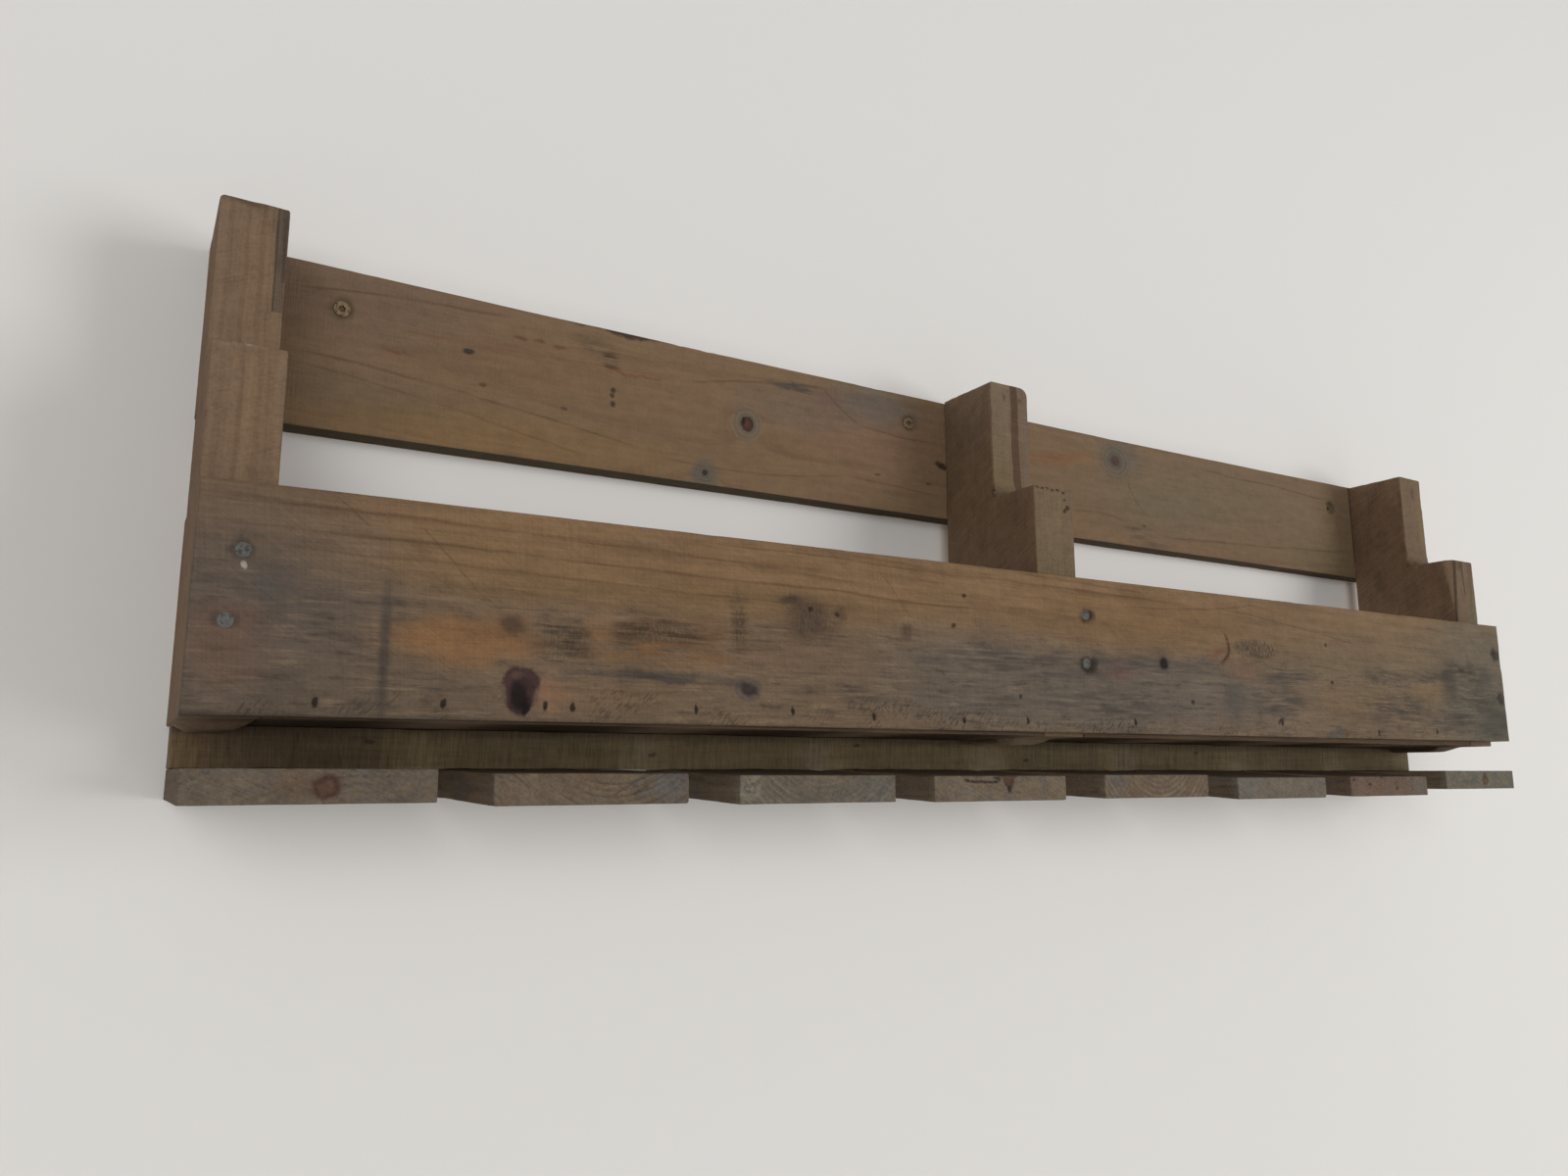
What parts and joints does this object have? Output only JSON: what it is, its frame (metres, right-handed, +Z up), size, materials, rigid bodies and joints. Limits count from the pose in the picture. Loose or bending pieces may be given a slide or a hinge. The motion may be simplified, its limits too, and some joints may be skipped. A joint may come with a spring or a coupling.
{
  "type": "wall wine rack",
  "caption": "Wall rack made from reclaimed pallet wood: a boarded shelf holds bottles upright, and fingers below it hold stemmed glasses by the foot.",
  "frame": {"origin": "on the wall plane, midway between the two outer wall screw holes", "axes": "+X right along the rack, +Y into the wall, +Z up"},
  "size_m": [1.016, 0.119, 0.292],
  "materials": {
    "stringer_wood": "bare softwood, aged brown, matt",
    "front_board_wood": "bare weathered softwood, brown going grey, matt",
    "back_board_wood": "bare softwood, aged tan, matt",
    "shelf_wood": "bare softwood, red-brown, matt",
    "batten_wood": "bare sawn softwood, olive brown, matt",
    "finger_wood": "bare sawn softwood, grey-tan, matt",
    "nail_steel": "dull galvanised steel",
    "screw_steel": "yellow-passivated steel"
  },
  "bodies": {
    "root": {"left_stringer": "stringer_wood", "middle_stringer": "stringer_wood", "right_stringer": "stringer_wood", "front_board": "front_board_wood", "lower_back_board": "back_board_wood", "upper_back_board": "back_board_wood", "left_shelf_board": "shelf_wood", "right_shelf_board": "shelf_wood", "rear_batten": "batten_wood", "finger_1": "finger_wood", "finger_2": "finger_wood", "finger_3": "finger_wood", "finger_4": "finger_wood", "finger_5": "finger_wood", "finger_6": "finger_wood", "finger_7": "finger_wood", "finger_8": "finger_wood", "front_board_nails": "nail_steel", "lower_back_board_nails": "nail_steel", "upper_back_board_nails": "nail_steel", "shelf_brads": "nail_steel", "finger_screws": "screw_steel", "batten_screws": "screw_steel"}
  },
  "joints": []
}
